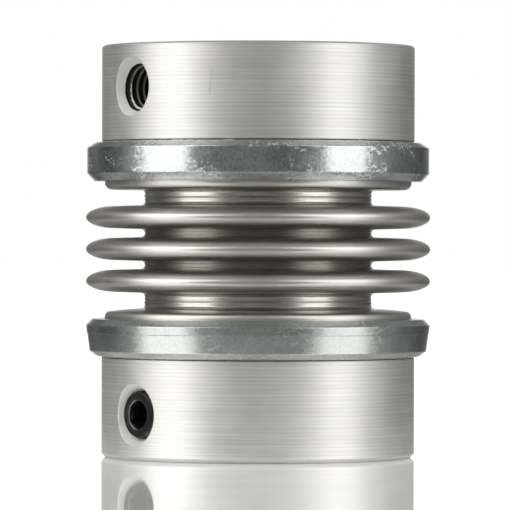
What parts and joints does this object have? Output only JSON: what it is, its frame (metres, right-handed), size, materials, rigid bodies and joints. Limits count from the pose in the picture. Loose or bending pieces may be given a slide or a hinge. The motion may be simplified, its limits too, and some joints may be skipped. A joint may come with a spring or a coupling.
{
  "type": "bellows coupling",
  "caption": "Metal bellows shaft coupling: turned set-screw hubs joined by a convoluted stainless bellows whose ends are held by press rings.",
  "frame": {"origin": "centre of the lower hub's end face, on the coupling's axis, where the coupling stands", "axes": "+Z along the coupling's axis from the lower hub to the upper one; -Y towards the side that shows one screw hole of each hub; +X to the right as seen from that side"},
  "size_m": [0.0352, 0.0352, 0.0421],
  "materials": {
    "turned_aluminium": "fine-turned bare aluminium with shallow circumferential feed marks",
    "zinc_plated_steel": "bright zinc plating with small pits and scuffs",
    "stainless_steel": "smooth satin stainless sheet, cold formed",
    "black_oxide_steel": "black oxide on hardened steel, lightly oiled"
  },
  "bodies": {
    "lower_end": {"lower_hub": "turned_aluminium", "lower_press_ring": "zinc_plated_steel"},
    "inner_link": {"bellows_inner_ply": "stainless_steel"},
    "outer_link": {"bellows_outer_ply": "stainless_steel"},
    "upper_end": {"upper_hub": "turned_aluminium", "upper_press_ring": "zinc_plated_steel"},
    "lower_front_screw": {"lower_front_set_screw": "black_oxide_steel"},
    "lower_rear_screw": {"lower_rear_set_screw": "black_oxide_steel"},
    "upper_front_screw": {"upper_front_set_screw": "black_oxide_steel"},
    "upper_rear_screw": {"upper_rear_set_screw": "black_oxide_steel"}
  },
  "joints": [
    {"name": "axial_flex", "type": "slide", "parent": "lower_end", "child": "inner_link", "axis": [0, 0, 1], "range_m": [-0.0005, 0.0005], "stiffness_N_per_m": 10000, "deforming": ["bellows_inner_ply"]},
    {"name": "tilt_about_x", "type": "hinge", "parent": "inner_link", "child": "outer_link", "pos_m": [0, 0, 0.02127], "axis": [1, 0, 0], "range_deg": [-1.5, 1.5], "stiffness_Nm_per_rad": 0.8, "deforming": ["bellows_outer_ply"]},
    {"name": "tilt_about_y", "type": "hinge", "parent": "outer_link", "child": "upper_end", "pos_m": [0, 0, 0.02127], "axis": [0, 1, 0], "range_deg": [-1.5, 1.5], "stiffness_Nm_per_rad": 0.8},
    {"name": "lower_front_screw_travel", "type": "slide", "parent": "lower_end", "child": "lower_front_screw", "axis": [-0.7793, -0.6266, 0], "range_m": [-0.004, 0.004]},
    {"name": "lower_rear_screw_travel", "type": "slide", "parent": "lower_end", "child": "lower_rear_screw", "axis": [-0.6266, 0.7793, 0], "range_m": [-0.004, 0.004]},
    {"name": "upper_front_screw_travel", "type": "slide", "parent": "upper_end", "child": "upper_front_screw", "axis": [-0.8039, -0.5948, 0], "range_m": [-0.0008, 0.0072]},
    {"name": "upper_rear_screw_travel", "type": "slide", "parent": "upper_end", "child": "upper_rear_screw", "axis": [-0.5948, 0.8039, 0], "range_m": [-0.0008, 0.0072]}
  ]
}
